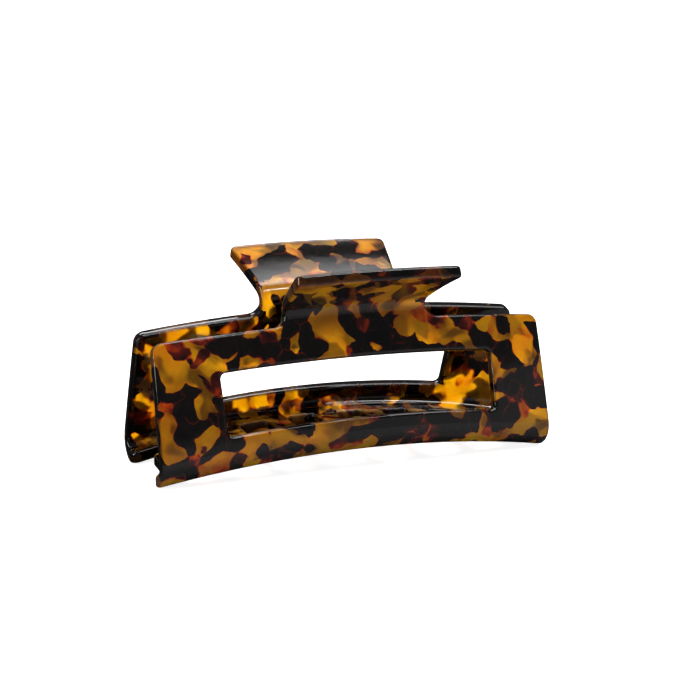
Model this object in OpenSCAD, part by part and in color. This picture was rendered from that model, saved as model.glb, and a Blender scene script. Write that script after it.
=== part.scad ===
// Rectangular hair claw clip: two mirrored acetate jaws on a sprung hinge pin.
// Millimetres, +Z up. X runs along the clip, -Y is the front jaw.
// Origin: middle of the clip, on the surface that it stands on.

/* [Jaw sheet] */
// Length of each jaw, along X
jaw_length = 105; // [98:1:112]
// Thickness of the acetate sheet
sheet = 3; // [2.6:0.1:3.2]
// How far the middle of a jaw bows out past its ends
bow = 2.6; // [1.5:0.1:3.2]
// How far the lower edge arches up in the middle
arch_low = 5.1; // [4:0.1:6]
// How far the shoulder arches up in the middle
arch_high = 2.7; // [2:0.1:3.5]
// Radius of the jaw's four outer corners
corner_r = 2.4; // [1.6:0.1:2.8]
// How much nearer the middle each end is at the shoulder than at the hook
end_taper = 0.4; // [0:0.1:0.8]

/* [Jaw profile] */
// Outside radius of the bend that turns the lower edge inwards
hook_r = 5.9; // [5.4:0.1:6.3]
// Distance from the middle plane to the centre of that bend
hook_y = 10.3; // [10:0.1:11]
// Lean of the wall from vertical just above the hook, in degrees
lean_low = 15.7; // [14.5:0.1:17]
// Lean of the wall from vertical just below the neck, in degrees
lean_high = 19.3; // [18:0.1:20.5]
// Length of the wall from the hook to the neck, along the sheet
wall_length = 29.5; // [28.5:0.1:30.5]
// Outside radius of the bend that turns the neck out into the handle
neck_r = 3; // [2.8:0.1:3.5]
// Rise of the handle above horizontal, halfway along it, in degrees
handle_rise = 28.5; // [26:0.5:31]
// How much the handle curls over from the neck bend to the lip, in degrees
handle_curl = 8; // [2:1:12]
// Length of the handle from the neck bend to the lip, along the sheet
handle_length = 15.6; // [13.5:0.1:16.5]

/* [Jaw outline] */
// Half of the window's length, along its lower edge
window_half = 36; // [34:0.1:37]
// How much further the window reaches along its upper edge, at each end
window_flare = 0.5; // [0:0.1:0.8]
// Radius of the window's corners
window_r = 1.5; // [1:0.1:2]
// Height of the window's lower edge at its ends
sill_z = 10.1; // [9.5:0.1:11]
// Height of the window's upper edge at its ends
head_z = 25.2; // [23:0.1:26]
// Height of the shoulder at the ends of the jaw
shoulder_z = 34.3; // [33.5:0.1:34.8]
// Half of the neck's width
neck_half = 18.9; // [17:0.1:20]
// Radius of the fillet between the neck and the shoulder
fillet_r = 3; // [2:0.1:3.2]
// Half of the lip's width
lip_half = 21.9; // [20.8:0.1:23]
// Radius of the lip's corners
lip_r = 1.6; // [1:0.1:2]

/* [Teeth] */
// Number of teeth on the front jaw; the rear jaw has one fewer, between them
front_teeth = 8; // [4:2:8]
// Distance from one tooth to the next on the same jaw
tooth_pitch = 13.2; // [12.6:0.1:13.4]
// Width of a tooth at its root
tooth_w = 6; // [5.4:0.1:6.1]
// Width of a tooth just before its rounded tip
tooth_tip_w = 4.4; // [4:0.1:5]
// Distance from the middle plane to the roots, at the ends of the jaw
root_y = 8.6; // [8.2:0.1:9]
// How far the tips reach past the middle plane
tip_reach = 5; // [3.5:0.1:5.2]

/* [Hinge] */
// Height of the hinge pin's axis
pin_z = 35.2; // [34.8:0.1:36]
// Radius of the hinge pin
pin_r = 1.1; // [1:0.05:1.2]
// Radial clearance of the rear knuckles on the pin
run_gap = 0.05; // [0.03:0.01:0.08]
// Radius of a knuckle's barrel
knuckle_r = 3.2; // [3:0.1:3.4]
// Width of a knuckle, along the pin
knuckle_w = 3.4; // [3:0.1:3.6]
// Distance from the middle of the clip to the inner knuckles
knuckle_in = 6.9; // [6.6:0.1:7.2]
// Gap between two neighbouring knuckles
knuckle_gap = 0.3; // [0.2:0.05:0.4]

/* [Spring] */
// Radius of the spring's wire
wire_r = 0.5; // [0.4:0.05:0.55]
// Radius of the coil, to the middle of the wire
coil_r = 2.2; // [2.1:0.05:2.4]
// Length of the coil, between the middles of its end turns
coil_length = 9.6; // [9:0.1:10.5]
// Whole turns in the coil
coil_turns = 8; // [7:1:8]
// Angle of each leg from vertical, in degrees
leg_lean = 27; // [24:1:28]
// Length of each leg
leg_length = 10.5; // [8:0.5:11]

/* [Hidden] */

half = jaw_length / 2;
rad = PI / 180;
// How far a welded knuckle's foot reaches into the sheet
weld = 0.4;
// Distance along the sheet that a knuckle's foot covers below and above the pin
foot_below = 4.2;
foot_above = 2.6;

// The sheet's outer face across the clip, from the tip of the longest tooth to the lip:
// a list of stretches, each [length, turn in degrees].
tooth_run = root_y + tip_reach + bow;
flange_run = hook_y - root_y;
hook_turn = 90 + lean_low;
neck_turn = 90 + lean_high - handle_rise - handle_curl / 2;
STRETCHES = [
    [tooth_run, 0],
    [flange_run, 0],
    [hook_r * hook_turn * rad, hook_turn],
    [wall_length, lean_high - lean_low],
    [neck_r * neck_turn * rad, -neck_turn],
    [handle_length, -handle_curl]
];
function mix(a, b, share) = a + share * (b - a);
function run_to(n) = n == 0 ? 0 : STRETCHES[n - 1][0] + run_to(n - 1);
root_s = run_to(1);
flange_s = run_to(2);
hook_s = run_to(3);
neck_s = run_to(4);
handle_s = run_to(5);
lip_s = run_to(6);

// Where a stretch has got to after a distance: [y, z, heading]
function along(at, stretch, run) =
    let (
        turned = stretch[1] * run / stretch[0],
        heading = at[2],
        r = stretch[0] / (stretch[1] * rad)
    )
    stretch[1] == 0
        ? [at[0] + run * cos(heading), at[1] + run * sin(heading), heading]
        : [
            at[0] + r * (sin(heading + turned) - sin(heading)),
            at[1] + r * (cos(heading) - cos(heading + turned)),
            heading + turned
        ];
function walk(at, n, run) =
    n == len(STRETCHES) - 1 || run <= STRETCHES[n][0]
        ? along(at, STRETCHES[n], run)
        : walk(along(at, STRETCHES[n], STRETCHES[n][0]), n + 1, run - STRETCHES[n][0]);
function outer_face(s) = walk([root_y - tooth_run, 0, 0], 0, s);

// Point of the front jaw at length x, distance s along the sheet and depth below its face
function skin(x, s, depth) =
    let (
        face = outer_face(s),
        middle = 1 - pow(x / half, 2),
        arch = mix(arch_low, arch_high, min(1, max(0, face[1] / shoulder_z)))
    )
    [
        x,
        depth * sin(face[2]) - face[0] - bow * middle,
        face[1] + depth * cos(face[2]) + arch * middle
    ];

// Distance along the wall at which the outer face reaches a height
function wall_at(z, low, high, tries) =
    let (mid = (low + high) / 2)
    tries == 0 ? mid
        : outer_face(mid)[1] < z ? wall_at(z, mid, high, tries - 1)
        : wall_at(z, low, mid, tries - 1);
sill_s = wall_at(sill_z, hook_s, neck_s, 20);
head_s = wall_at(head_z, hook_s, neck_s, 20);
shoulder_s = wall_at(shoulder_z, hook_s, handle_s, 20);
neck_top_s = shoulder_s + fillet_r;

// How far a round corner of radius r drops at a distance into it
function corner_drop(into, r) = into <= 0 ? 0 : r - sqrt(max(0, r * r - into * into));
function root_line(x) = root_s + corner_drop(abs(x) - half + corner_r, corner_r);
function sill_line(x) = sill_s + corner_drop(min(abs(x), window_half) - window_half + window_r, window_r);
function head_line(x) = head_s - corner_drop(min(abs(x), window_half) - window_half + window_r, window_r);
function shoulder_line(x) =
    abs(x) <= neck_half ? neck_top_s
    : abs(x) < neck_half + fillet_r ? shoulder_s + corner_drop(neck_half + fillet_r - abs(x), fillet_r)
    : shoulder_s - corner_drop(abs(x) - half + corner_r, corner_r);
function lip_line(x) = lip_s - corner_drop(abs(x) - neck_half + lip_r, lip_r);

// A row of teeth is spread evenly about the middle of its jaw.
// u runs from -1 to 1 across a tooth, and v from 0 at its root to 1 at its tip.
TOOTH_U = [-1, -0.62, 0, 0.62, 1];
TOOTH_V = [1, 0.66, 0.33];
function tooth_x(k, teeth) = (k - (teeth - 1) / 2) * tooth_pitch;
function tooth_near(x, teeth) = round(x / tooth_pitch + (teeth - 1) / 2);
function on_tooth(x, teeth) =
    let (k = tooth_near(x, teeth))
    k >= 0 && k < teeth && abs(x - tooth_x(k, teeth)) < tooth_w / 2;
function tooth_tip_s(x, u) =
    let (middle = 1 - pow(x / half, 2))
    bow * (1 - middle) + tooth_tip_w / 2 * (1 - sqrt(max(0, 1 - u * u)));
function tooth_point(x, v, teeth) =
    let (
        centre = tooth_x(tooth_near(x, teeth), teeth),
        u = max(-1, min(1, (x - centre) / (tooth_w / 2))),
        width = mix(tooth_w, tooth_tip_w, v)
    )
    [centre + u * width / 2, mix(root_line(x), tooth_tip_s(centre, u), v)];

// Lines of x that the outline needs, sorted, and without repeats
function sorted(v) =
    len(v) < 2 ? v
    : let (
        pivot = v[floor(len(v) / 2)],
        less = [for (a = v) if (a < pivot) a],
        more = [for (a = v) if (a > pivot) a]
    )
    concat(sorted(less), [pivot], sorted(more));
side_x = concat(
    [for (k = [0 : 3]) half - corner_r + corner_r * sin(30 * k)],
    [for (k = [0 : 2]) window_half - window_r + window_r * sin(45 * k)],
    [for (k = [0 : 3]) neck_half + fillet_r * (1 - cos(30 * k))],
    [for (k = [0 : 2]) neck_half - lip_r + lip_r * sin(45 * k)]
);
function columns(teeth) = sorted(concat(
    side_x,
    -side_x,
    [for (k = [0 : teeth - 1]) for (u = TOOTH_U) tooth_x(k, teeth) + u * tooth_w / 2]
));

// Rows of the sheet's grid, from the tips of the teeth to the lip: [part, share of it]
bend_steps = 5;
ROWS = concat(
    [for (v = TOOTH_V) ["tooth", v]],
    [["hook", 0]],
    [for (k = [0 : bend_steps]) ["hook", mix(flange_run / (hook_s - root_s), 1, k / bend_steps)]],
    [["sill", 0], ["head", 0]],
    [for (share = [0.5, 0.8, 1]) ["band", share]],
    [for (k = [1 : bend_steps]) ["neck", k / bend_steps]],
    [for (share = [0.25, 0.5, 0.75, 1]) ["handle", share]]
);
// Points of the flat sheet. The wall's ends lean inwards, its window's ends lean outwards,
// and the handle widens towards its lip.
function slanted(x, s) =
    let (
        window = window_half + lookup(s, [[sill_s, 0], [head_s, window_flare], [shoulder_s, 0]]),
        end = half - lookup(s, [[hook_s, 0], [shoulder_s, end_taper]]),
        beyond = (abs(x) - window_half) / (half - window_half)
    )
    [beyond < 0 ? x * window / window_half : sign(x) * mix(window, end, beyond), s];
function flared(x, s) =
    [x * mix(1, lip_half / neck_half, (s - neck_top_s) / (lip_s - neck_top_s)), s];
function flat_point(x, row, teeth) =
    row[0] == "tooth" ? tooth_point(x, row[1], teeth)
    : row[0] == "hook" ? [x, mix(root_line(x), hook_s, row[1])]
    : row[0] == "sill" ? slanted(x, sill_line(x))
    : row[0] == "head" ? slanted(x, head_line(x))
    : row[0] == "band" ? slanted(x, mix(head_line(x), shoulder_line(x), row[1]))
    : row[0] == "neck" ? flared(x, mix(neck_top_s, handle_s, row[1]))
    : flared(x, mix(handle_s, lip_line(x), row[1]));
// Whether the sheet covers the grid's cell to the right of column i and above row j
function covered(lines, teeth, i, j) =
    i < 0 || j < 0 || i > len(lines) - 2 || j > len(ROWS) - 2 ? false
    : let (x = (lines[i] + lines[i + 1]) / 2, top = ROWS[j + 1][0], low = ROWS[j][0])
    low == "tooth" ? on_tooth(x, teeth)
    : top == "head" ? abs(x) > window_half
    : top == "neck" || top == "handle" ? abs(x) < neck_half
    : true;

// Front jaw with a number of teeth: a grid of points on each face of the sheet
module jaw(teeth) {
    lines = columns(teeth);
    wide = len(lines);
    tall = len(ROWS);
    function has(i, j) = covered(lines, teeth, i, j);
    points = [for (depth = [0, sheet]) for (x = lines) for (row = ROWS)
        let (flat = flat_point(x, row, teeth)) skin(flat[0], flat[1], depth)];
    cells = [for (i = [0 : wide - 2]) for (j = [0 : tall - 2]) if (has(i, j)) [i, j]];
    inner = wide * tall;
    faces = [for (cell = cells)
        let (
            i = cell[0],
            j = cell[1],
            a = i * tall + j,
            b = a + tall,
            c = b + 1,
            d = a + 1
        )
        each concat(
            [[a, d, c], [a, c, b], [a + inner, c + inner, d + inner], [a + inner, b + inner, c + inner]],
            has(i, j - 1) ? [] : [[a, b, b + inner], [a, b + inner, a + inner]],
            has(i, j + 1) ? [] : [[c, d, d + inner], [c, d + inner, c + inner]],
            has(i - 1, j) ? [] : [[d, a, a + inner], [d, a + inner, d + inner]],
            has(i + 1, j) ? [] : [[b, c, c + inner], [b, c + inner, b + inner]]
        )];
    polyhedron(points, faces, convexity = 10);
}

// Knuckle of the front jaw from x to x + knuckle_w, with a bore of radius hole
module knuckle(x, hole) {
    middle = x + knuckle_w / 2;
    mid_s = wall_at(pin_z - arch_high, hook_s, handle_s, 20);
    foot = [for (k = [0 : 4]) skin(middle, mid_s + mix(-foot_below, foot_above, k / 4), sheet - weld)];
    web = concat(
        [for (p = foot) [p[1], p[2] - pin_z]],
        [for (side = [1, -1]) [-knuckle_r * 0.45, side * knuckle_r * 0.82]]
    );
    translate([x, 0, pin_z]) rotate([90, 0, 90]) difference() {
        union() {
            cylinder(h = knuckle_w, r = knuckle_r, $fn = 48);
            linear_extrude(knuckle_w) polygon(web);
        }
        translate([0, 0, -1]) cylinder(h = knuckle_w + 2, r = hole, $fn = 48);
    }
}

module front_jaw() {
    color("darkorange") jaw(front_teeth);
}

module rear_jaw() {
    color("orange") rotate([0, 0, 180]) jaw(front_teeth - 1);
}

// The front jaw's knuckles are the outer pair, and the rear jaw's sit just inside them
outer_x = knuckle_in + knuckle_w + knuckle_gap;

module front_knuckle_left() {
    color("saddlebrown") knuckle(-outer_x - knuckle_w, pin_r);
}

module front_knuckle_right() {
    color("saddlebrown") knuckle(outer_x, pin_r);
}

module rear_knuckle_left() {
    color("sienna") rotate([0, 0, 180]) knuckle(knuckle_in, pin_r + run_gap);
}

module rear_knuckle_right() {
    color("sienna") rotate([0, 0, 180]) knuckle(-knuckle_in - knuckle_w, pin_r + run_gap);
}

// Steel pin with a rounded head at each end, one formed and one peened over
module hinge_pin() {
    reach = outer_x + knuckle_w + 0.2;
    head_r = pin_r + 0.8;
    head_t = 0.8;
    color("silver") translate([0, 0, pin_z]) rotate([0, 90, 0]) {
        translate([0, 0, -reach]) cylinder(h = 2 * reach, r = pin_r, $fn = 48);
        for (side = [0, 1]) mirror([0, 0, side]) translate([0, 0, reach])
            intersection() {
                cylinder(h = head_t, r = head_r, $fn = 48);
                translate([0, 0, head_t - head_r * 1.5]) sphere(head_r * 1.5, $fn = 48);
            }
    }
}

// The spring's wire: a leg up the front handle, the coil, and a leg up the rear handle
turn_steps = 14;
coil_angle = 360 * coil_turns + 180 - 2 * leg_lean;
coil_rings = ceil(coil_turns * turn_steps);
// Middle of the wire at an angle round the pin from the horizontal, and a place along it
function coil_point(f) =
    let (angle = leg_lean + coil_angle * f)
    [(f - 0.5) * coil_length, -coil_r * cos(angle), pin_z - coil_r * sin(angle)];
function leg_end(side) =
    let (start = coil_point(side > 0 ? 1 : 0))
    start + leg_length * [0, side * sin(leg_lean), cos(leg_lean)];
WIRE = concat(
    [leg_end(-1)],
    [for (k = [0 : coil_rings]) coil_point(k / coil_rings)],
    [leg_end(1)]
);
wire_sides = 8;
function unit(v) = v / norm(v);
function wire_ring(k) =
    let (
        back = WIRE[max(0, k - 1)],
        next = WIRE[min(len(WIRE) - 1, k + 1)],
        ahead = unit(next - back),
        side = unit(cross(ahead, [1, 0, 0])),
        up = cross(side, ahead)
    )
    [for (n = [0 : wire_sides - 1])
        WIRE[k] + wire_r * (cos(360 * n / wire_sides) * side + sin(360 * n / wire_sides) * up)];

module torsion_spring() {
    rings = len(WIRE);
    points = [for (k = [0 : rings - 1]) each wire_ring(k)];
    walls = [for (k = [0 : rings - 2]) for (n = [0 : wire_sides - 1])
        let (
            a = k * wire_sides + n,
            b = k * wire_sides + (n + 1) % wire_sides
        )
        each [[a, b, b + wire_sides], [a, b + wire_sides, a + wire_sides]]];
    first = [for (n = [0 : wire_sides - 1]) wire_sides - 1 - n];
    last = [for (n = [0 : wire_sides - 1]) (rings - 1) * wire_sides + n];
    color("lightgray") polyhedron(points, concat(walls, [first, last]), convexity = 10);
}

front_jaw();
rear_jaw();
front_knuckle_left();
front_knuckle_right();
rear_knuckle_left();
rear_knuckle_right();
hinge_pin();
torsion_spring();
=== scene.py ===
import math

import bmesh
import bpy
import numpy as np
from mathutils import Matrix, Vector, geometry

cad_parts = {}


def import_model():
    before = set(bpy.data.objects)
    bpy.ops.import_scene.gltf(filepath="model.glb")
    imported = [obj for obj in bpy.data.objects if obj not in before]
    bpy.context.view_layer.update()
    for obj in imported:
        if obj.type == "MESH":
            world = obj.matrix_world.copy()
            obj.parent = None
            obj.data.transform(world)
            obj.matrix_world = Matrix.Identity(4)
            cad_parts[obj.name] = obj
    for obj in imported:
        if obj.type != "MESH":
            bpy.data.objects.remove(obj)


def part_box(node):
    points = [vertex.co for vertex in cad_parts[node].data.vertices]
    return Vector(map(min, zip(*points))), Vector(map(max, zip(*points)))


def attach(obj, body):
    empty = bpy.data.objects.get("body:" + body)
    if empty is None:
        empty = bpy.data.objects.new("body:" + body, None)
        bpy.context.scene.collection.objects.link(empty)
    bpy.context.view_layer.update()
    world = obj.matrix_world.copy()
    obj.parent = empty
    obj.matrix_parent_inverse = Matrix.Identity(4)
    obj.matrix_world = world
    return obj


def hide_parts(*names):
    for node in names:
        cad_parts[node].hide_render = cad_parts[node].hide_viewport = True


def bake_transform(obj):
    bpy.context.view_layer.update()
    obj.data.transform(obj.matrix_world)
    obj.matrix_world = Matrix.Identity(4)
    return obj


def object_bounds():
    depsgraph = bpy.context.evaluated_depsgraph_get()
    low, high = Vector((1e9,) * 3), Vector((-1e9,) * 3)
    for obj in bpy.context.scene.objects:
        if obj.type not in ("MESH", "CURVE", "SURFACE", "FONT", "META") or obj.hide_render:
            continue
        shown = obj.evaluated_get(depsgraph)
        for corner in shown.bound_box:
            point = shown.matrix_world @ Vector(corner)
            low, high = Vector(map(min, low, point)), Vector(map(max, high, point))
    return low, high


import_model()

cad_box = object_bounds()
MM = 0.001

# Jaw sheet
LOW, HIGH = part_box("front_jaw")
HALF = (HIGH.x - LOW.x) / 2 / MM  # half of a jaw's length
SHEET = 3.0  # thickness
EDGE_R = 0.8  # radius of the polished edges
BOW = 2.6  # how far the middle bows out past the ends
ARCH_LOW = 5.1  # how far the middle arches up at the lower edge
ARCH_HIGH = 2.7  # how far it arches up at the shoulder
CORNER_R = 2.4
END_TAPER = 0.4  # how much nearer the middle each end is at the shoulder than at the hook
TAPER_R = 40.0  # eases the corner where that taper starts

# Jaw profile, from the hook that turns the lower edge inwards up to the handle's lip
HOOK_R = 5.9  # outside radius of the hook
HOOK_Y = 10.3  # distance from the middle plane to the hook's centre
LEAN_LOW = 15.7  # lean of the wall from vertical, just above the hook
LEAN_HIGH = 19.3  # lean of the wall just below the neck
WALL_LENGTH = 29.5  # from the hook to the neck, along the sheet
NECK_R = 3.0  # outside radius of the bend from the neck to the handle
HANDLE_RISE = 28.5  # rise of the handle above horizontal, halfway along it
HANDLE_CURL = 8.0  # how much the handle curls over from the neck bend to the lip
HANDLE_LENGTH = 15.6

# Jaw outline
WINDOW_HALF = 36.0  # half of the window's length, along its lower edge
WINDOW_FLARE = 0.5  # how much further it reaches along its upper edge, at each end
WINDOW_R = 1.5
SILL_Z = 10.1  # height of the window's lower edge at its ends
HEAD_Z = 25.2  # height of its upper edge there
SHOULDER_Z = 34.3  # height of the shoulder at the ends of the jaw
NECK_HALF = 18.9
FILLET_R = 3.0  # between the neck and the shoulder
LIP_HALF = 21.9
LIP_R = 1.6

# Teeth
FRONT_TEETH = 8
TOOTH_PITCH = 13.2
TOOTH_W = 6.0
TOOTH_TIP_W = 4.4
TOOTH_TIP_R = 2.1
ROOT_R = 1.5  # fillet between a tooth and the edge it grows from
END_ROOT_R = 0.7  # that fillet where a jaw's corner leaves it little room
ROOT_Y = 8.6  # distance from the middle plane to the roots, at the ends of the jaw
TIP_REACH = 5.0  # how far the tips reach past the middle plane

# Knuckles
KNUCKLE_R = 3.2
KNUCKLE_W = 3.4
KNUCKLE_IN = 6.9  # distance from the middle of the clip to the inner knuckles
KNUCKLE_GAP = 0.3
KNUCKLE_EDGE = 0.35  # radius of the eased edges
RUN_GAP = 0.05  # radial clearance of the rear knuckles on the pin
FOOT_BELOW = 4.2  # how far a knuckle's foot runs along the sheet below the pin
FOOT_ABOVE = 2.6  # and above it
WELD = 0.4  # how far the foot reaches into the sheet

# Hinge pin
PIN_Z = 35.2
PIN_R = 1.1
PIN_SPARE = 0.2  # gap between a head and the knuckle beside it
HEAD_OUT = 0.8  # how far a head stands out past the shaft
HEAD_T = 0.8  # thickness of a head
HEAD_EASE = 0.12  # bevel of its inner edge
HEAD_RIM = 0.25  # how far its straight rim goes before the dome
HEAD_DRAFT = 0.02  # how much the rim narrows
DIMPLE = ((0.42, 0.06), (0.3, 0.2), (0, 0.24))  # (radius, depth) in the peened head

# Spring
WIRE_R = 0.5
COIL_R = 2.2  # to the middle of the wire
COIL_LENGTH = 9.6
COIL_TURNS = 8
LEG_LEAN = 27.0  # lean of each leg from vertical
LEG_LENGTH = 10.5

# Fineness of the meshes
EDGE_STEPS = 5  # rings over a rounded edge
EDGE_BAND = 1.3  # how far in the last ring lies, in radii of the edge
GRID_GAP = 0.35  # room between that ring and the grid inside it
MERGE = 1e-7  # points of a plate closer than this become one
OUTLINE_STEP = 0.6
ARC_TURN = 12
COLUMN_STEP = 1.25
ROW_STEP = 1.25
ROW_TURN = 7
KNUCKLE_STEP = 0.4
BARREL_STEPS = 30
BORE_SIDES = 30
FOOT_STEPS = 6
PIN_SIDES = 64
DOME_STEPS = 8
SHAFT_RINGS = 12
SHAFT_INSET = 1.0  # how far from the heads those rings start
TURN_STEPS = 26
LEG_STEPS = 8
WIRE_SIDES = 14
WIRE_END_TURNS = (30, 60, 80)

# Floor, in metres. Its greys are the share of light it gives back.
FLOOR_R = 0.75
FLOOR_SIDES = 128
FLOOR_SEEN = 0.93  # as the camera sees it, with a glow that evens it out to white
FLOOR_GLOW = 0.88
FLOOR_CARD = 0.55  # as it lights the clip from below
FLOOR_BEHIND = 0.03  # in the clip's gloss, behind the middle of the clip
FLOOR_AHEAD = 0.4  # in the clip's gloss, in front of the clip
FLOOR_FADE = 0.03  # distance over which one turns into the other

# World: how bright it is as a backdrop and as the light all round
BACKDROP = 1.0
SURROUND = 0.12

# Soft lights: azimuth, elevation, distance, width, height, radiance and beam. The overhead
# one has a narrow beam, so that its haze on the rear handle fades away upwards.
LIGHT_AIM = (0, 0, 0.03)
OPEN_BEAM = 180
LIGHTS = {
    "overhead": (102, 67, 1.1, 0.8, 0.8, 8.0, 34),
    "zenith": (0, 88, 1.1, 0.35, 0.35, 12.0, OPEN_BEAM),
    "top_strip": (38, 52, 1.0, 0.8, 0.045, 30.0, OPEN_BEAM),
    "left_strip": (-85, 25, 1.1, 0.08, 0.8, 28.0, OPEN_BEAM),
    "back_strip": (175, 55, 1.1, 0.9, 0.08, 12.0, OPEN_BEAM),
    "front_fill": (25, 4, 1.1, 1.4, 0.45, 0.25, OPEN_BEAM),
}

# Camera: its distance and the place it looks at are in lengths and heights of the clip
CAMERA_AZIMUTH = -23.83
CAMERA_ELEVATION = 12.46
CAMERA_ROLL = 0.73
CAMERA_DISTANCE = 3.842
CAMERA_AIM_X = -0.0073
CAMERA_AIM_Z = 0.581
CAMERA_LENS = 85

# The sheet's outer face across the clip, from the tooth tips to the lip: (length, turn)
TOOTH_RUN = ROOT_Y + TIP_REACH + BOW
HOOK_TURN = 90 + LEAN_LOW
NECK_TURN = 90 + LEAN_HIGH - HANDLE_RISE - HANDLE_CURL / 2
STRETCHES = (
    (TOOTH_RUN, 0),
    (HOOK_Y - ROOT_Y, 0),
    (HOOK_R * math.radians(HOOK_TURN), HOOK_TURN),
    (WALL_LENGTH, LEAN_HIGH - LEAN_LOW),
    (NECK_R * math.radians(NECK_TURN), -NECK_TURN),
    (HANDLE_LENGTH, -HANDLE_CURL),
)
ENDS = [sum(length for length, _ in STRETCHES[:n]) for n in range(len(STRETCHES) + 1)]
ROOT_S, HOOK_S, NECK_S, HANDLE_S, LIP_S = ENDS[1], ENDS[3], ENDS[4], ENDS[5], ENDS[6]


def mix(a, b, share):
    return a + share * (b - a)


def circle(radius, sides):
    """Corners of a regular polygon about the origin."""
    turns = [2 * math.pi * k / sides for k in range(sides)]
    return [(radius * math.cos(a), radius * math.sin(a)) for a in turns]


def outer_face(s):
    """y, z and heading in radians of the outer face, a distance s along the sheet."""
    y, z, heading = ROOT_Y - TOOTH_RUN, 0.0, 0.0
    for (length, turn), start in zip(STRETCHES, ENDS):
        run = min(s - start, length)
        if run <= 0:
            break
        if turn == 0:
            y += run * math.cos(heading)
            z += run * math.sin(heading)
        else:
            r = length / math.radians(turn)
            after = heading + run / r
            y += r * (math.sin(after) - math.sin(heading))
            z += r * (math.cos(heading) - math.cos(after))
            heading = after
    return y, z, heading


def skin(x, s, depth):
    """Point of the front jaw at length x, distance s along the sheet and depth below its outer face."""
    y, z, heading = outer_face(s)
    middle = 1 - (x / HALF) ** 2
    arch = mix(ARCH_LOW, ARCH_HIGH, min(1, max(0, z / SHOULDER_Z)))
    return (
        x,
        depth * math.sin(heading) - y - BOW * middle,
        z + depth * math.cos(heading) + arch * middle,
    )


def height_s(z, low, high, halvings=40):
    """Distance along the sheet, between low and high, at which the outer face reaches height z."""
    for _ in range(halvings):
        mid = (low + high) / 2
        low, high = (mid, high) if outer_face(mid)[1] < z else (low, mid)
    return low


SILL_S = height_s(SILL_Z, HOOK_S, NECK_S)
HEAD_S = height_s(HEAD_Z, HOOK_S, NECK_S)
SHOULDER_S = height_s(SHOULDER_Z, HOOK_S, HANDLE_S)


# ---------------------------------------------------------------- outlines and rounded plates


def rounded(corners, step):
    """Closed outline through corners (u, v, radius), each rounded, with points about step apart."""
    out = []
    n = len(corners)
    for k, (u, v, r) in enumerate(corners):
        p = np.array((u, v))
        back = np.array(corners[k - 1][:2]) - p
        ahead = np.array(corners[(k + 1) % n][:2]) - p
        back, ahead = back / np.linalg.norm(back), ahead / np.linalg.norm(ahead)
        half = math.acos(max(-1, min(1, float(back @ ahead)))) / 2
        centre = p + (back + ahead) / np.linalg.norm(back + ahead) * r / math.sin(half)
        start, end = p + back * r / math.tan(half), p + ahead * r / math.tan(half)
        if out:
            out += between(out[-1], start, step)
        steps = max(2, math.ceil(math.degrees(math.pi - 2 * half) / ARC_TURN))
        a, b = start - centre, end - centre
        turn = math.atan2(a[0] * b[1] - a[1] * b[0], float(a @ b))
        for i in range(steps + 1):
            c, w = math.cos(turn * i / steps), math.sin(turn * i / steps)
            out.append(centre + np.array((c * a[0] - w * a[1], w * a[0] + c * a[1])))
    out += between(out[-1], out[0], step)
    return np.array(out)


def between(a, b, step):
    """Points strictly between a and b, about step apart."""
    n = max(1, math.ceil(np.linalg.norm(b - a) / step))
    return [mix(a, b, k / n) for k in range(1, n)]


def area(loop):
    """Area inside a loop, negative where it runs clockwise."""
    u, v = loop[:, 0], loop[:, 1]
    return float((u * np.roll(v, -1) - v * np.roll(u, -1)).sum() / 2)


def inset(loop, distance, side):
    """The loop moved by distance, to its left where side is 1 and to its right where it is -1."""
    before, after = loop - np.roll(loop, 1, 0), np.roll(loop, -1, 0) - loop
    before /= np.linalg.norm(before, axis=1)[:, None]
    after /= np.linalg.norm(after, axis=1)[:, None]
    tangent = before + after
    tangent /= np.linalg.norm(tangent, axis=1)[:, None]
    stretch = 1 / np.maximum(0.5, (tangent * after).sum(1))
    normal = np.stack((-tangent[:, 1], tangent[:, 0]), 1) * side
    return loop + normal * (distance * stretch)[:, None]


def within(points, loops):
    """Whether each point lies inside the outer loop and outside the holes."""
    inside = np.zeros(len(points), bool)
    for loop in loops:
        for a, b in zip(loop, np.roll(loop, -1, 0)):
            if a[1] == b[1]:
                continue
            crosses = (a[1] > points[:, 1]) != (b[1] > points[:, 1])
            at = a[0] + (points[:, 1] - a[1]) * (b[0] - a[0]) / (b[1] - a[1])
            inside ^= crosses & (points[:, 0] < at)
    return inside


def clear_of(points, loops, gap, batch=500):
    """Whether each point is at least gap from every loop, worked out a batch of points at a time."""
    clear = np.ones(len(points), bool)
    for loop in loops:
        for part in np.array_split(np.arange(len(points)), max(1, len(points) // batch)):
            apart = points[part][:, None] - loop[None]
            clear[part] &= (apart**2).sum(2).min(1) > gap**2
    return clear


def edge_rings(loops, edge):
    """Rings of points (u, v, depth, cut) that step inwards over the rounded edge of each loop,
    with the edges along them, and for each loop its outermost ring and the side it faces."""
    turns = [math.radians(90 * k / EDGE_STEPS) for k in range(EDGE_STEPS + 1)]
    insets = [(edge * (1 - math.cos(a)), edge * (1 - math.sin(a)), math.cos(a)) for a in turns]
    insets.append((edge * EDGE_BAND, 0, 0))
    points, edges, rims = [], [], []
    for number, loop in enumerate(loops):
        side = (1 if area(loop) > 0 else -1) * (1 if number == 0 else -1)
        for distance, depth, cut in insets:
            start = len(points)
            points += [(*p, depth, cut) for p in inset(loop, distance, side)]
            ring = [(start + k, start + (k + 1) % len(loop)) for k in range(len(loop))]
            edges += ring
            if distance == 0:
                rims.append((ring, side))
    return points, edges, rims


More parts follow.
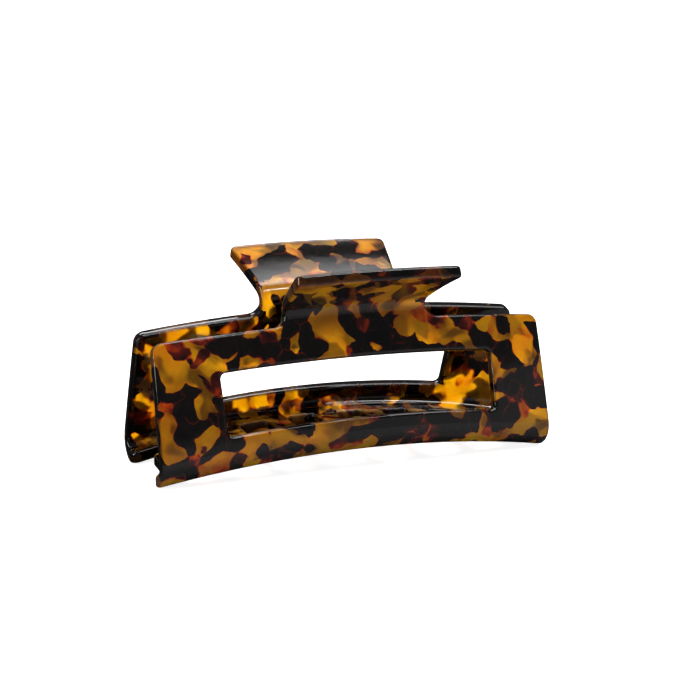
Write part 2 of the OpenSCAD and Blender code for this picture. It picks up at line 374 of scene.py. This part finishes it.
def grid_inside(loops, edge, lines):
    """Points (u, v, depth, cut) where the grid's lines cross, inside all the rings of the edges."""
    grid = np.array([(u, v) for u in lines[0] for v in lines[1]], float).reshape(-1, 2)
    grid = grid[within(grid, loops)]
    grid = grid[clear_of(grid, loops, edge * EDGE_BAND + GRID_GAP)]
    return [(*p, 0, 0) for p in grid]


def plate(name, loops, thick, edge, lines, place):
    """A plate of any outline with rounded edges, bent by place(u, v, depth).
    loops are its outline and then its holes, and lines the u and v of the grid that fills it."""
    flat, edges, rims = edge_rings(loops, edge)
    flat += grid_inside(loops, edge, lines)
    found = geometry.delaunay_2d_cdt([Vector(p[:2]) for p in flat], edges, [], 0, MERGE, True)
    spots, faces, sources = np.array([tuple(p) for p in found[0]]), found[2], found[3]
    middles = np.array([spots[list(face)].mean(0) for face in faces])
    faces = [face for face, inside in zip(faces, within(middles, loops)) if inside]
    depths = [flat[ids[0]][2] if ids else 0 for ids in sources]
    cuts = [flat[ids[0]][3] if ids else 0 for ids in sources]
    points = [place(*p, depth) for p, depth in zip(spots, depths)]
    points += [place(*p, thick - depth) for p, depth in zip(spots, depths)]
    count = len(spots)
    solid = [tuple(face) for face in faces]
    solid += [tuple(k + count for k in reversed(face)) for face in faces]
    now = {old: k for k, ids in enumerate(sources) for old in ids}
    for ring, side in rims:
        for start, end in ring:
            a, b = now[start], now[end]
            quad = (b, a, a + count, b + count)
            solid.append(quad if side > 0 else tuple(reversed(quad)))
    return mesh_object(name, points, solid, cuts * 2)


def mesh_object(name, points, faces, cuts=None):
    """A smooth mesh object from points in millimetres, with its faces turned outwards.
    cuts says how much each point belongs to a cut edge of the sheet, from 0 to 1; the jaws' acetate paints
    shade onto the cut edges by it."""
    mesh = bpy.data.meshes.new(name)
    mesh.from_pydata([Vector(p) * MM for p in points], [], faces)
    if cuts:
        mesh.attributes.new("cut", "FLOAT", "POINT").data.foreach_set("value", cuts)
    bm = bmesh.new()
    bm.from_mesh(mesh)
    loose = [v for v in bm.verts if not v.link_faces]
    bmesh.ops.delete(bm, geom=loose, context="VERTS")
    bmesh.ops.recalc_face_normals(bm, faces=bm.faces)
    bm.to_mesh(mesh)
    bm.free()
    mesh.shade_smooth()
    obj = bpy.data.objects.new(name, mesh)
    bpy.context.scene.collection.objects.link(obj)
    return obj


# ---------------------------------------------------------------- jaws


def jaw_outline(teeth):
    """The flat sheet's outline with a row of teeth, anticlockwise from the lower left corner."""
    corners = [(-HALF, ROOT_S, CORNER_R)]
    for k in range(teeth):
        centre = (k - (teeth - 1) / 2) * TOOTH_PITCH
        tip = BOW * (centre / HALF) ** 2
        near_end = abs(centre) + TOOTH_W / 2 + ROOT_R + CORNER_R > HALF
        roots = [ROOT_R, ROOT_R]
        if near_end:
            roots[0 if centre < 0 else 1] = END_ROOT_R
        corners += [
            (centre - TOOTH_W / 2, ROOT_S, roots[0]),
            (centre - TOOTH_TIP_W / 2, tip, TOOTH_TIP_R),
            (centre + TOOTH_TIP_W / 2, tip, TOOTH_TIP_R),
            (centre + TOOTH_W / 2, ROOT_S, roots[1]),
        ]
    splay = (LIP_HALF - NECK_HALF) / (LIP_S - SHOULDER_S - FILLET_R)
    neck = NECK_HALF - splay * FILLET_R
    corners += [
        (HALF, ROOT_S, CORNER_R),
        (HALF, HOOK_S, TAPER_R),
        (HALF - END_TAPER, SHOULDER_S, CORNER_R),
        (neck, SHOULDER_S, FILLET_R),
        (LIP_HALF, LIP_S, LIP_R),
        (-LIP_HALF, LIP_S, LIP_R),
        (-neck, SHOULDER_S, FILLET_R),
        (END_TAPER - HALF, SHOULDER_S, CORNER_R),
        (-HALF, HOOK_S, TAPER_R),
    ]
    return rounded(corners, OUTLINE_STEP)


def window_outline():
    """The window's outline on the flat sheet."""
    low, high = WINDOW_HALF, WINDOW_HALF + WINDOW_FLARE
    corners = [(-low, SILL_S), (low, SILL_S), (high, HEAD_S), (-high, HEAD_S)]
    return rounded([(*corner, WINDOW_R) for corner in corners], OUTLINE_STEP)


def sheet_rows():
    """Distances along the sheet for the grid's rows, closer together round the bends."""
    rows = []
    for (length, turn), start in zip(STRETCHES, ENDS):
        n = max(2, math.ceil(max(length / ROW_STEP, abs(turn) / ROW_TURN)))
        rows += [start + length * k / n for k in range(n)]
    return rows


def jaw(name, teeth, turned):
    """A jaw with a row of teeth, as the front one or turned round as the rear one."""
    loops = [jaw_outline(teeth), window_outline()]
    columns = np.arange(-HALF, HALF, COLUMN_STEP) + COLUMN_STEP / 2
    side = -1 if turned else 1

    def place(x, s, depth):
        p = skin(x, s, depth)
        return side * p[0], side * p[1], p[2]

    return plate(name, loops, SHEET, EDGE_R, (columns, sheet_rows()), place)


# ---------------------------------------------------------------- hinge


def knuckle_corners(middle):
    """Outline of a knuckle about the pin: round its barrel, then along its foot in the sheet."""
    at = height_s(PIN_Z - ARCH_HIGH, HOOK_S, HANDLE_S)
    foot = []
    for k in range(FOOT_STEPS + 1):
        run = mix(-FOOT_BELOW, FOOT_ABOVE, k / FOOT_STEPS)
        _, y, z = skin(middle, at + run, SHEET - WELD)
        foot.append(np.array((y, z - PIN_Z)))
    low, high = tangent_angle(foot[0], 1), tangent_angle(foot[-1], -1)
    turns = [mix(low, high, k / BARREL_STEPS) for k in range(BARREL_STEPS + 1)]
    rim = [np.array((KNUCKLE_R * math.cos(a), KNUCKLE_R * math.sin(a))) for a in turns]
    return rim + foot[::-1]


def knuckle(name, x, side, bore):
    """Knuckle from x on, welded inside the front jaw (side -1) or the rear jaw (side 1)."""
    loop = []
    for p in knuckle_corners(x + KNUCKLE_W / 2):
        loop += (between(loop[-1], p, KNUCKLE_STEP) if loop else []) + [p]
    loop += between(loop[-1], loop[0], KNUCKLE_STEP)
    loops = [np.array(loop), np.array(circle(bore, BORE_SIDES))]

    def place(y, z, depth):
        return x + depth, -side * y, z + PIN_Z

    return plate(name, loops, KNUCKLE_W, KNUCKLE_EDGE, ([], []), place)


def tangent_angle(point, way):
    """Angle at which the tangent from a point meets the knuckle's barrel."""
    away = math.atan2(point[1], point[0]) % (2 * math.pi)
    spread = math.acos(KNUCKLE_R / np.linalg.norm(point))
    angle = away + way * spread
    return angle - 2 * math.pi if way > 0 else angle


def lathe(name, profile):
    """A turned piece on the pin's axis, from a profile of (x, radius) with both ends on the axis."""
    points, faces, rings = [], [], []
    for x, r in profile:
        ring = circle(r, PIN_SIDES) if r > 0 else [(0, 0)]
        rings.append([len(points) + k for k in range(len(ring))])
        points += [(x, y, PIN_Z + z) for y, z in ring]
    for a, b in zip(rings, rings[1:]):
        for k in range(PIN_SIDES):
            corners = [a[k % len(a)], a[(k + 1) % len(a)], b[(k + 1) % len(b)], b[k % len(b)]]
            faces.append(tuple(dict.fromkeys(corners)))
    return mesh_object(name, points, faces)


def pin():
    """Steel pin: a domed head at each end, the right-hand one peened over with a small dimple."""
    reach = KNUCKLE_IN + 2 * KNUCKLE_W + KNUCKLE_GAP + PIN_SPARE
    head = PIN_R + HEAD_OUT
    end = [
        (reach, PIN_R),
        (reach, head - HEAD_EASE),
        (reach + HEAD_EASE, head),
        (reach + HEAD_RIM, head - HEAD_DRAFT),
    ]
    for k in range(1, DOME_STEPS):
        turn = math.pi / 2 * k / DOME_STEPS
        end.append((reach + mix(HEAD_RIM, HEAD_T, math.sin(turn)), head * math.cos(turn)))
    formed = [(-reach - HEAD_T, 0)] + [(-x, r) for x, r in reversed(end)]
    inner = reach - SHAFT_INSET
    shaft = [(x, PIN_R) for x in np.linspace(-inner, inner, SHAFT_RINGS)]
    # The last ring of the dome gives way to the dimple
    peened = end[:-1] + [(reach + HEAD_T - depth, r) for r, depth in DIMPLE]
    return lathe("hinge_pin_turned", formed + shaft + peened)


def spring():
    """Wire of the torsion spring: a leg up the front handle, the coil, and a leg up the rear handle."""
    turn = 360 * COIL_TURNS + 180 - 2 * LEG_LEAN
    steps = TURN_STEPS * COIL_TURNS
    path = []
    for k in range(steps + 1):
        along = (k / steps - 0.5) * COIL_LENGTH
        a = math.radians(LEG_LEAN + turn * k / steps)
        path.append(np.array((along, -COIL_R * math.cos(a), PIN_Z - COIL_R * math.sin(a))))
    lean = math.radians(LEG_LEAN)
    for side in (-1, 1):
        way = np.array((0, side * math.sin(lean), math.cos(lean)))
        start = path[-1 if side > 0 else 0]
        leg = [start + way * LEG_LENGTH * k / LEG_STEPS for k in range(1, LEG_STEPS + 1)]
        path = path + leg if side > 0 else leg[::-1] + path
    return sweep("torsion_spring_wire", path, WIRE_R, WIRE_SIDES)


def sweep(name, path, radius, sides):
    """A round wire along a path, with rounded ends."""
    path = np.array(path)
    ahead = np.gradient(path, axis=0)
    ahead /= np.linalg.norm(ahead, axis=1)[:, None]
    rings = [(p, a, radius) for p, a in zip(path, ahead)]
    for turn in WIRE_END_TURNS:
        out, r = radius * math.sin(math.radians(turn)), radius * math.cos(math.radians(turn))
        rings.append((path[-1] + ahead[-1] * out, ahead[-1], r))
        rings.insert(0, (path[0] - ahead[0] * out, ahead[0], r))
    points, faces = [], []
    for p, a, r in rings:
        side = np.cross(a, (1, 0, 0))
        side /= np.linalg.norm(side)
        up = np.cross(side, a)
        points += [p + u * side + v * up for u, v in circle(r, sides)]
    for k in range(len(rings) - 1):
        for n in range(sides):
            a, b = k * sides + n, k * sides + (n + 1) % sides
            faces.append((a, b, b + sides, a + sides))
    faces.append(tuple(range(sides)))
    faces.append(tuple((len(rings) - 1) * sides + n for n in reversed(range(sides))))
    return mesh_object(name, points, faces)


# ---------------------------------------------------------------- materials
# Noise scales are in waves per metre, and the heights and reaches of bumps in metres.


class Nodes:
    """A material's node tree, with a short way to add a node and link its inputs."""

    def __init__(self, name):
        self.material = bpy.data.materials.new(name)
        self.material.use_nodes = True
        self.tree = self.material.node_tree
        self.shader = self.tree.nodes["Principled BSDF"]

    def add(self, kind, inputs=(), **settings):
        node = self.tree.nodes.new("ShaderNode" + kind)
        for key, value in settings.items():
            setattr(node, key, value)
        for key, value in dict(inputs).items():
            self.put(node.inputs[key], value)
        return node

    def put(self, socket, value):
        """Links a socket to another node's output, or sets its own value."""
        if isinstance(value, bpy.types.NodeSocket):
            self.tree.links.new(value, socket)
        else:
            socket.default_value = value

    def maths(self, operation, a, b):
        return self.add("Math", {0: a, 1: b}, operation=operation).outputs[0]

    def noise(self, where, scale, detail=2.0, rough=0.5, bend=0.0):
        inputs = {"Vector": where, "Scale": scale, "Detail": detail, "Roughness": rough, "Distortion": bend}
        return self.add("TexNoise", inputs).outputs["Fac"]

    def ramp(self, value, stops):
        """A ramp through stops of (position, colour)."""
        node = self.add("ValToRGB", {"Fac": value})
        while len(node.color_ramp.elements) < len(stops):
            node.color_ramp.elements.new(0.5)
        for element, (position, colour) in zip(node.color_ramp.elements, stops):
            element.position = position
            element.color = (*colour, 1)
        return node.outputs["Color"]

    def grey_ramp(self, value, *stops):
        """A ramp through stops of (position, level)."""
        return self.ramp(value, [(position, (level,) * 3) for position, level in stops])

    def surface(self, inputs):
        """Links or sets inputs of the shader itself."""
        for key, value in inputs.items():
            self.put(self.shader.inputs[key], value)

    def bump(self, height, strength, distance):
        inputs = {"Height": height, "Strength": strength, "Distance": distance}
        normal = self.add("Bump", inputs).outputs["Normal"]
        self.put(self.shader.inputs["Normal"], normal)
        return normal

    def wander(self, where, scale, reach):
        """The place moved about by up to half of reach, in swirls of a size set by scale."""
        swirl = self.add("TexNoise", {"Vector": where, "Scale": scale, "Detail": 1.0}).outputs["Color"]
        centred = self.add("VectorMath", {0: swirl, 1: (0.5, 0.5, 0.5)}, operation="SUBTRACT").outputs[0]
        offset = self.add("VectorMath", {0: centred, "Scale": reach}, operation="SCALE").outputs[0]
        return self.add("VectorMath", {0: where, 1: offset}, operation="ADD").outputs[0]

    def blend(self, share, a, b, kind="MIX"):
        """From colour a to colour b, by share."""
        # A Mix node has sockets for each data type: 6 and 7 are its colours, and output 2 its colour
        inputs = {"Factor": share, 6: a, 7: b}
        return self.add("Mix", inputs, data_type="RGBA", blend_type=kind).outputs[2]

    def times(self, a, b):
        return self.blend(1.0, a, b, "MULTIPLY")


def srgb(r, g, b):
    """Linear colour from 0-255 screen values."""
    return tuple((c / 255 / 12.92) if c <= 10 else ((c / 255 + 0.055) / 1.055) ** 2.4 for c in (r, g, b))


def grey(level):
    return (level, level, level, 1)


AMBER = srgb(240, 174, 4)
HONEY = srgb(220, 140, 3)
EMBER = srgb(206, 66, 6)
MAROON = srgb(84, 18, 12)
JET = srgb(14, 8, 7)
WHITE = (1.0, 1.0, 1.0)
SHADOWED = (0.34, 0.3, 0.5)  # what a chip deep in the amber leaves of its colour
CUT_EDGE_PAINTED_SHADE = (0.16, 0.12, 0.16)  # painted shade: what is left of the colour on a cut edge, darkened as if that edge lay in shade
ACETATE_IOR = 1.49
CHIP_SCALE = 240.0  # chips per metre


def chip_field(m, place, warped):
    """How dark the acetate is at each place: amber under about 0.48, and a chip above it."""
    inputs = {"Vector": warped, "Scale": CHIP_SCALE, "Smoothness": 0.45}
    chips = m.add("TexVoronoi", inputs, feature="SMOOTH_F1").outputs["Color"]
    apart = m.add("SeparateColor", {"Color": chips}).outputs[0]
    drift = m.maths("MULTIPLY", m.noise(place, 75.0), 0.27)
    ragged = m.maths("MULTIPLY", m.noise(place, 300.0, 2.0, 0.6), 0.08)
    return m.maths("ADD", m.maths("MULTIPLY", apart, 0.75), m.maths("ADD", drift, ragged))


def chip_colour(m, place, warped, field):
    """Dark chips with rust-red rims, and thin red seams where some of them meet."""
    chip = m.ramp(field, [(0.5, EMBER), (0.535, MAROON), (0.575, JET)])
    inputs = {"Vector": warped, "Scale": CHIP_SCALE}
    gap = m.add("TexVoronoi", inputs, feature="DISTANCE_TO_EDGE").outputs[0]
    seam = m.grey_ramp(gap, (0.01, 1.0), (0.07, 0.0))
    some = m.grey_ramp(m.noise(place, 130.0, 1.0), (0.5, 0.0), (0.62, 0.8))
    return m.blend(m.maths("MULTIPLY", seam, some), chip, (*MAROON, 1))


def polish(m, spot):
    """Milky acetate without a shine of its own, under a faintly uneven clear gloss."""
    m.surface({
        "IOR": ACETATE_IOR,
        "Specular IOR Level": 0.0,
        "Specular Tint": (0.0, 0.0, 0.0, 1.0),
        "Subsurface Weight": 0.8,
        "Subsurface Radius": (1.0, 0.5, 0.15),
        "Subsurface Scale": 0.0022,
        "Coat Weight": 1.0,
        "Coat Roughness": 0.08,
        "Coat IOR": ACETATE_IOR,
    })
    m.surface({"Coat Normal": m.bump(m.noise(spot, 210.0), 0.05, 0.0006)})


def tortoiseshell(name, shift, clear):
    """Polished acetate: amber with opaque dark chips, and painted shade on its cut edges. shift moves its
    pattern about, and clear is the share of light that the amber lets straight through."""
    m = Nodes(name)
    spot = m.add("TexCoord").outputs["Object"]
    place = m.add("Mapping", {"Vector": spot, "Location": shift}).outputs["Vector"]
    warped = m.wander(m.wander(place, 110.0, 0.008), 420.0, 0.0014)
    field = chip_field(m, place, warped)
    ground = m.ramp(m.noise(place, 120.0, 3.0, 0.6), [(0.38, HONEY), (0.62, AMBER)])
    share = m.grey_ramp(field, (0.45, 0.0), (0.51, 1.0))
    colour = m.blend(share, ground, chip_colour(m, place, warped, field))
    # Chips that lie deeper down show through the amber as soft brown shadows
    deep = m.ramp(m.noise(warped, 150.0, 1.5), [(0.5, WHITE), (0.6, SHADOWED)])
    # Painted shade: the colour is darkened on the cut edges of the sheet, as if they lay in shade
    cut = m.add("Attribute", attribute_name="cut").outputs["Fac"]
    edge = m.ramp(cut, [(0.3, WHITE), (0.9, CUT_EDGE_PAINTED_SHADE)])
    m.surface({
        "Base Color": m.times(m.times(colour, deep), edge),
        "Transmission Weight": m.grey_ramp(field, (0.49, clear), (0.54, 0.0)),
        "Roughness": m.grey_ramp(m.noise(place, 150.0), (0.3, 0.34), (0.7, 0.5)),
    })
    polish(m, spot)
    return m.material


def knuckle_acetate():
    """Dark brown acetate, lightly mottled."""
    m = Nodes("knuckle_acetate")
    spot = m.add("TexCoord").outputs["Object"]
    mottle = m.noise(spot, 330.0, 3.0, 0.6, 0.6)
    m.surface({
        "Base Color": m.ramp(mottle, [(0.42, JET), (0.62, MAROON)]),
        "Roughness": m.grey_ramp(m.noise(spot, 900.0, 3.0), (0.3, 0.16), (0.7, 0.3)),
        "IOR": ACETATE_IOR,
    })
    m.bump(m.noise(spot, 700.0, 3.0, 0.6), 0.15, 0.0002)
    return m.material


def steel(name, tone, lines, smoothest, roughest):
    """Bright steel with fine marks, whose spacing along each axis is set by lines."""
    m = Nodes(name)
    spot = m.add("TexCoord").outputs["Object"]
    drawn = m.add("Mapping", {"Vector": spot, "Scale": lines}).outputs["Vector"]
    marks = m.noise(drawn, 1.0, 4.0, 0.65)
    dulled = tuple(c * 0.8 for c in tone)
    m.surface({
        "Base Color": m.ramp(m.noise(spot, 420.0, 3.0, 0.6), [(0.3, dulled), (0.7, tone)]),
        "Roughness": m.grey_ramp(marks, (0.3, smoothest), (0.7, roughest)),
        "Metallic": 1.0,
    })
    m.bump(marks, 0.25, 0.00005)
    return m.material


def finish(piece, material, body, slot, *nodes):
    """Gives a piece its material, and says which body it rides on and which CAD nodes it stands for.
    A piece without a body is left unattached."""
    piece.data.materials.append(material)
    if body:
        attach(piece, body)
    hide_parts(*nodes)


# ---------------------------------------------------------------- stage, light and camera


def floor():
    """A pale round floor: white to the camera and through the clip, and greyer in all else."""
    mesh = bpy.data.meshes.new("floor")
    rim = [(x, y, 0) for x, y in circle(FLOOR_R, FLOOR_SIDES)]
    mesh.from_pydata(rim, [], [tuple(range(FLOOR_SIDES))])
    obj = bpy.data.objects.new("floor", mesh)
    bpy.context.scene.collection.objects.link(obj)
    mesh.materials.append(floor_material())


def floor_material():
    """Matt pale card, whose mirror image in the clip is dark behind it and grey in front."""
    m = Nodes("pale_floor")
    path = m.add("LightPath").outputs
    seen = m.maths("MAXIMUM", path["Is Camera Ray"], path["Is Transmission Ray"])
    y = m.add("SeparateXYZ", {"Vector": m.add("TexCoord").outputs["Object"]}).outputs["Y"]
    ahead = m.add("MapRange", {"Value": y, "From Min": 0.0, "From Max": -FLOOR_FADE}).outputs["Result"]
    mirrored = m.blend(ahead, grey(FLOOR_BEHIND), grey(FLOOR_AHEAD))
    unseen = m.blend(path["Is Glossy Ray"], grey(FLOOR_CARD), mirrored)
    m.surface({
        "Base Color": m.blend(seen, unseen, grey(FLOOR_SEEN)),
        "Emission Color": grey(1.0),
        "Emission Strength": m.maths("MULTIPLY", seen, FLOOR_GLOW),
        "Roughness": 0.9,
        "Specular IOR Level": 0.0,
    })
    return m.material


def world():
    """White behind the clip, both past it and through it, and a dimmer even light to all else."""
    w = bpy.data.worlds.new("studio")
    bpy.context.scene.world = w
    w.use_nodes = True
    nodes, links = w.node_tree.nodes, w.node_tree.links
    light = nodes["Background"]
    path = nodes.new("ShaderNodeLightPath")
    seen = nodes.new("ShaderNodeMath")
    seen.operation = "MAXIMUM"
    links.new(path.outputs["Is Camera Ray"], seen.inputs[0])
    links.new(path.outputs["Is Transmission Ray"], seen.inputs[1])
    mixed = nodes.new("ShaderNodeMapRange")
    mixed.inputs["To Min"].default_value = SURROUND
    mixed.inputs["To Max"].default_value = BACKDROP
    links.new(seen.outputs[0], mixed.inputs["Value"])
    links.new(mixed.outputs["Result"], light.inputs["Strength"])
    light.inputs["Color"].default_value = grey(1.0)


def towards(azimuth, elevation):
    """Direction from the clip to a light or the camera. Azimuth 0 is straight in front of it."""
    a, e = math.radians(azimuth), math.radians(elevation)
    return Vector((math.sin(a) * math.cos(e), -math.cos(a) * math.cos(e), math.sin(e)))


def softbox(name, azimuth, elevation, distance, width, height, radiance, beam):
    """A rectangular soft light aimed at the clip, of a given radiance seen from straight ahead.
    A beam narrower than OPEN_BEAM makes it fade towards its edges."""
    back = towards(azimuth, elevation)
    data = bpy.data.lights.new(name, "AREA")
    data.shape = "RECTANGLE"
    data.size, data.size_y = width, height
    data.spread = math.radians(beam)
    half = data.spread / 2
    narrowed = math.tan(half) / (math.tan(half) - half) if beam < OPEN_BEAM else 1
    data.energy = radiance * math.pi * width * height / narrowed
    obj = bpy.data.objects.new(name, data)
    bpy.context.scene.collection.objects.link(obj)
    obj.location = back * distance + Vector(LIGHT_AIM)
    obj.rotation_euler = back.to_track_quat("Z", "Y").to_euler()


def camera():
    low, high = cad_box
    length, height = high.x - low.x, high.z - low.z
    back = towards(CAMERA_AZIMUTH, CAMERA_ELEVATION)
    data = bpy.data.cameras.new("camera")
    data.sensor_width = 36
    data.lens = CAMERA_LENS
    data.clip_start = 0.01
    obj = bpy.data.objects.new("camera", data)
    bpy.context.scene.collection.objects.link(obj)
    roll = Matrix.Rotation(math.radians(CAMERA_ROLL), 4, "Z")
    turn = back.to_track_quat("Z", "Y").to_matrix().to_4x4() @ roll
    target = Vector((CAMERA_AIM_X * length, 0, CAMERA_AIM_Z * height))
    obj.matrix_world = Matrix.Translation(target + back * CAMERA_DISTANCE * length) @ turn
    bpy.context.scene.camera = obj


# ---------------------------------------------------------------- the clip


def make_jaws():
    """The two jaws, whose acetate has its pattern in different places."""
    acetate = tortoiseshell("front_tortoiseshell", (0.31, 0.12, 0.07), 0.55)
    acetate_rear = tortoiseshell("rear_tortoiseshell", (0.53, -0.24, 0.19), 0.8)
    piece = jaw("front_jaw_sheet", FRONT_TEETH, False)
    finish(piece, acetate, "front", "jaw_acetate", "front_jaw")
    piece = jaw("rear_jaw_sheet", FRONT_TEETH - 1, True)
    finish(piece, acetate_rear, "rear", "jaw_acetate", "rear_jaw")


def make_hinge():
    """The four knuckles, the rear pair just inside the front pair, and the pin."""
    dark = knuckle_acetate()
    outer = KNUCKLE_IN + KNUCKLE_W + KNUCKLE_GAP
    starts = {"left": (-outer - KNUCKLE_W, -KNUCKLE_IN - KNUCKLE_W), "right": (outer, KNUCKLE_IN)}
    for hand, (x_front, x_rear) in starts.items():
        piece = knuckle(f"front_barrel_{hand}", x_front, -1, PIN_R)
        finish(piece, dark, "front", "knuckle_acetate", f"front_knuckle_{hand}")
        piece = knuckle(f"rear_barrel_{hand}", x_rear, 1, PIN_R + RUN_GAP)
        finish(piece, dark, "rear", "knuckle_acetate", f"rear_knuckle_{hand}")
    bright = steel("turned_steel", (0.66, 0.66, 0.67), (2600.0, 500.0, 500.0), 0.18, 0.36)
    finish(pin(), bright, "front", "pin_steel", "hinge_pin")


def make_spring():
    """The spring's wire, which twists between the jaws along its coil."""
    wire = spring()
    drawn = steel("spring_wire_steel", (0.56, 0.56, 0.58), (900.0, 2200.0, 2200.0), 0.22, 0.42)
    finish(wire, drawn, None, "spring_steel", "torsion_spring")
    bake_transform(wire)


make_jaws()
make_hinge()
make_spring()
floor()
world()
for light, settings in LIGHTS.items():
    softbox(light, *settings)
camera()
bpy.context.scene.view_settings.view_transform = "Standard"
